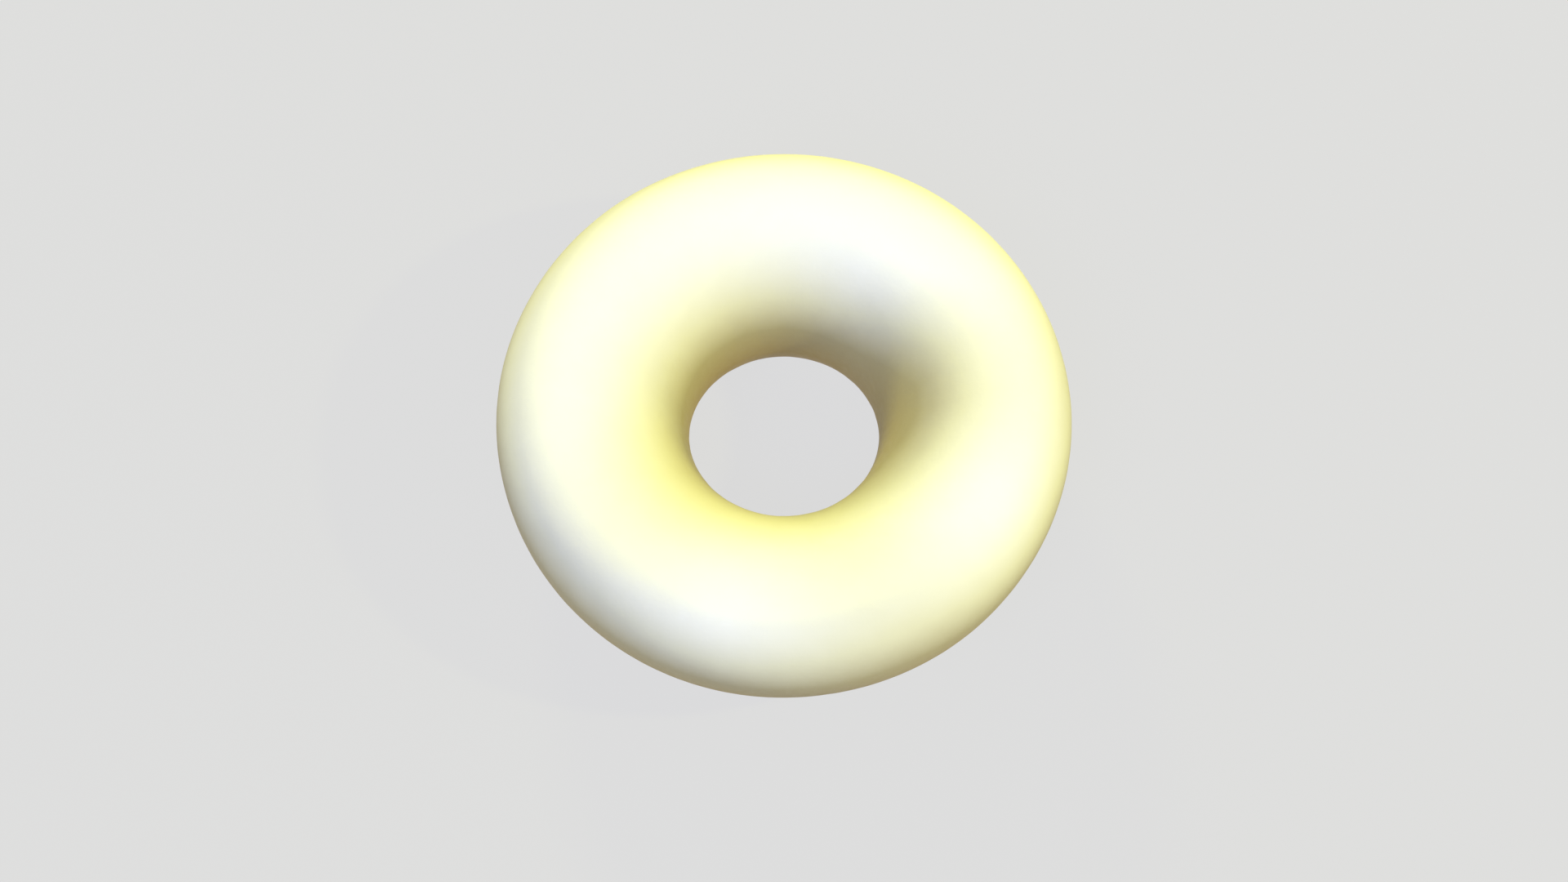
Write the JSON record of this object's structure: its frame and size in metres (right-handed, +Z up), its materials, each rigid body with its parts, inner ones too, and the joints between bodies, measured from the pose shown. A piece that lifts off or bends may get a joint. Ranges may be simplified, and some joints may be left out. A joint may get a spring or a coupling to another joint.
{
  "type": "ring doughnut",
  "caption": "Plain ring doughnut, pale cream dough with golden sides, lying flat; a smooth puffed ring around an open hole.",
  "frame": {"origin": "centre of the underside, on the hole's axis, at the level of the table the doughnut lies on", "axes": "+Z up along the hole's axis, through the crown; X and Y lie in the table's plane and are interchangeable, because the ring is round"},
  "size_m": [0.09, 0.09, 0.0315],
  "materials": {
    "dough": "satin, pale cream crust on the crown that turns golden down the outer side and inside the hole, with soft yellow patches and fine pores"
  },
  "bodies": {
    "root": {"dough_ring": "dough"}
  },
  "joints": []
}
